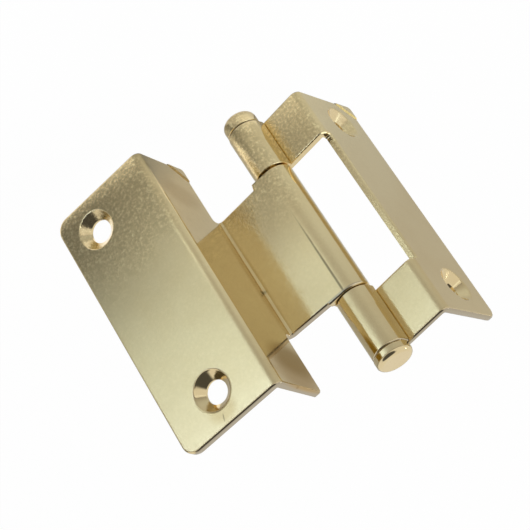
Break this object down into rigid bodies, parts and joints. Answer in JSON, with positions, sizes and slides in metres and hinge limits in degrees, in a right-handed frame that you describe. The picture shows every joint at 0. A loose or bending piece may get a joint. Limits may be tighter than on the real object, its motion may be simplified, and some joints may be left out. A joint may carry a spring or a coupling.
{
  "type": "offset hinge",
  "caption": "Double-cranked cabinet hinge of folded brass-plated steel sheet, with rolled knuckles on a headed pin and countersunk screw holes in both flanges.",
  "frame": {"origin": "midway between the frame flange's two screw holes, on the plane of their lips behind the sheet; the pin's axis stands at x 9.5 mm, y -12 mm", "axes": "+Z along the pin, -X out of the frame flange's screw face, +Y towards the frame flange's free edge"},
  "size_m": [0.0416, 0.0411, 0.055],
  "materials": {
    "plated_sheet": "satin steel sheet with thin brass plating",
    "plated_pin": "brass-plated steel wire, lightly polished on its heads"
  },
  "bodies": {
    "frame": {"frame_leaf": "plated_sheet", "hinge_pin": "plated_pin"},
    "door": {"door_leaf": "plated_sheet"}
  },
  "joints": [
    {"name": "door_swing", "type": "hinge", "parent": "frame", "child": "door", "pos_m": [0.0095, -0.012, 0.0005], "axis": [0, 0, 1], "range_deg": [-174, 155]}
  ]
}
